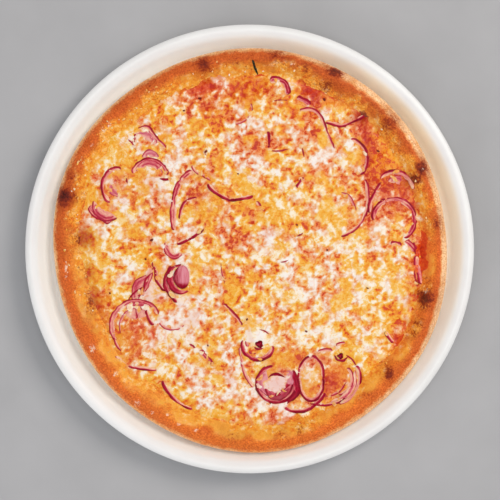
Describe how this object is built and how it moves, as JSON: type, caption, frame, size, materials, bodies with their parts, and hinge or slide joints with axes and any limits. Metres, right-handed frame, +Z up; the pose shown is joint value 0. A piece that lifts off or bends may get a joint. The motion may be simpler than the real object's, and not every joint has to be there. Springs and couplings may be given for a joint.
{
  "type": "onion pizza on plate",
  "caption": "Baked round pizza with melted cheese, tomato sauce and red onion rings and strips, lying in the well of a shallow white plate with a rolled lip and a foot ring",
  "frame": {"origin": "centre of the plate's foot ring, on the table surface it stands on", "axes": "+Z up; +X to the right and +Y away from the viewer who looks down on the pizza as it is shown"},
  "size_m": [0.32, 0.32, 0.0235],
  "materials": {
    "porcelain": "white glaze, glossy",
    "baked_dough": "baked, matte to satin, with dark blisters",
    "tomato_sauce": "moist, oily",
    "melted_cheese": "melted, oily, uneven",
    "red_onion": "cooked, moist, slightly translucent",
    "dried_herb": "dry, matte"
  },
  "bodies": {
    "root": {"cheese": "melted_cheese", "crust": "baked_dough", "herb_needle": "dried_herb", "onion_arc_east": "red_onion", "onion_arc_northwest": "red_onion", "onion_arch_northwest": "red_onion", "onion_band_east": "red_onion", "onion_bit_east": "red_onion", "onion_bit_northeast": "red_onion", "onion_bit_southeast": "red_onion", "onion_brown_arc_southwest": "red_onion", "onion_bud": "red_onion", "onion_core_south": "red_onion", "onion_core_southeast": "red_onion", "onion_core_strip_southwest": "red_onion", "onion_crescent_west": "red_onion", "onion_cup_south": "red_onion", "onion_curl_centre": "red_onion", "onion_curve_south_rim": "red_onion", "onion_dark_band_south": "red_onion", "onion_dark_curve_southwest": "red_onion", "onion_fan_west": "red_onion", "onion_hook_north": "red_onion", "onion_inner_bend_east": "red_onion", "onion_inner_crescent_west": "red_onion", "onion_inner_petal_southwest": "red_onion", "onion_inner_ring_southeast": "red_onion", "onion_inner_strip_southwest": "red_onion", "onion_long_arc_northeast": "red_onion", "onion_long_bend_east": "red_onion", "onion_outer_curve_south": "red_onion", "onion_outer_ring_southeast": "red_onion", "onion_oval_ring_south": "red_onion", "onion_pale_curve_south": "red_onion", "onion_petal_centre": "red_onion", "onion_petal_southwest": "red_onion", "onion_ring_east": "red_onion", "onion_ring_north": "red_onion", "onion_ring_south": "red_onion", "onion_ring_southwest": "red_onion", "onion_ring_west": "red_onion", "onion_short_arc_southeast": "red_onion", "onion_sliver_centre": "red_onion", "onion_sliver_east": "red_onion", "onion_sliver_north": "red_onion", "onion_sliver_southeast": "red_onion", "onion_stick_centre": "red_onion", "onion_stick_northeast": "red_onion", "onion_stick_south": "red_onion", "onion_strip_east": "red_onion", "onion_strip_far_southwest": "red_onion", "onion_strip_northwest": "red_onion", "onion_tail_centre": "red_onion", "onion_upper_ring_east": "red_onion", "onion_wedge_south": "red_onion", "plate": "porcelain", "sauce": "tomato_sauce"}
  },
  "joints": []
}
